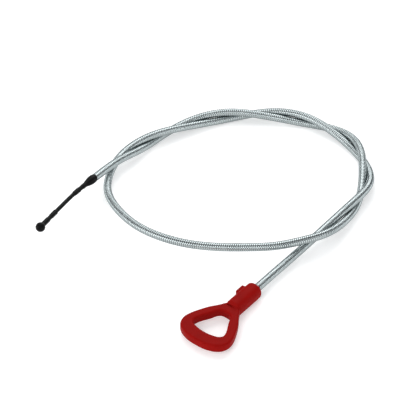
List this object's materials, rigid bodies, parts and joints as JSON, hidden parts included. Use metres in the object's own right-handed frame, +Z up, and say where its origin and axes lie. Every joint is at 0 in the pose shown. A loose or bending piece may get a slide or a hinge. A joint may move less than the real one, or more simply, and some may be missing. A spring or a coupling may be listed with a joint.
{
  "type": "flexible dipstick",
  "caption": "Flexible dipstick: red finger-loop handle, close-wound steel spring shaft lying in a loose twisted coil, and a black gauge tip with raised level marks and a ball end.",
  "frame": {"origin": "on the table, under the middle of the box round the handle and the gauge tip, leaving out the shaft", "axes": "+Z up from the table; +X to the right and +Y away, as seen from the side where the handle lies; lying as in the picture"},
  "size_m": [0.2631, 0.285, 0.0284],
  "materials": {
    "handle_plastic": "satin moulded red plastic",
    "spring_steel": "bright plated close-wound spring wire",
    "tip_plastic": "satin moulded black plastic"
  },
  "bodies": {
    "coil": {"shaft_handle_swing_flex": "spring_steel", "shaft_coil_1": "spring_steel", "shaft_coil_2": "spring_steel", "shaft_coil_3": "spring_steel", "shaft_coil_4": "spring_steel", "shaft_tip_lift_flex": "spring_steel"},
    "lead": {"shaft_handle_lift_flex": "spring_steel", "shaft_handle_lead": "spring_steel"},
    "grip": {"handle": "handle_plastic", "shaft_handle_end": "spring_steel"},
    "tip_lead": {"shaft_tip_lead": "spring_steel", "shaft_tip_swing_flex": "spring_steel"},
    "tip": {"shaft_tip_end": "spring_steel", "gauge_tip": "tip_plastic"}
  },
  "joints": [
    {"name": "handle_swing", "type": "hinge", "parent": "coil", "child": "lead", "pos_m": [0.10864, 0.00521, 0.00609], "axis": [0, 0, 1], "range_deg": [-35, 35], "stiffness_Nm_per_rad": 0.04, "deforming": ["shaft_handle_swing_flex"]},
    {"name": "handle_lift", "type": "hinge", "parent": "lead", "child": "grip", "pos_m": [0.08998, -0.01827, 0.00636], "axis": [-0.7802, 0.6256, 0], "range_deg": [0, 30], "stiffness_Nm_per_rad": 0.037, "springref_deg": -11.46, "deforming": ["shaft_handle_lift_flex"]},
    {"name": "tip_lift", "type": "hinge", "parent": "coil", "child": "tip_lead", "pos_m": [-0.00741, 0.13965, 0.00625], "axis": [-0.8363, 0.5482, 0], "range_deg": [0, 25], "stiffness_Nm_per_rad": 0.035, "springref_deg": -5.73, "deforming": ["shaft_tip_lift_flex"]},
    {"name": "tip_swing", "type": "hinge", "parent": "tip_lead", "child": "tip", "pos_m": [-0.03614, 0.09891, 0.0164], "axis": [0, 0, 1], "range_deg": [-25, 25], "stiffness_Nm_per_rad": 0.06, "deforming": ["shaft_tip_swing_flex"]}
  ]
}
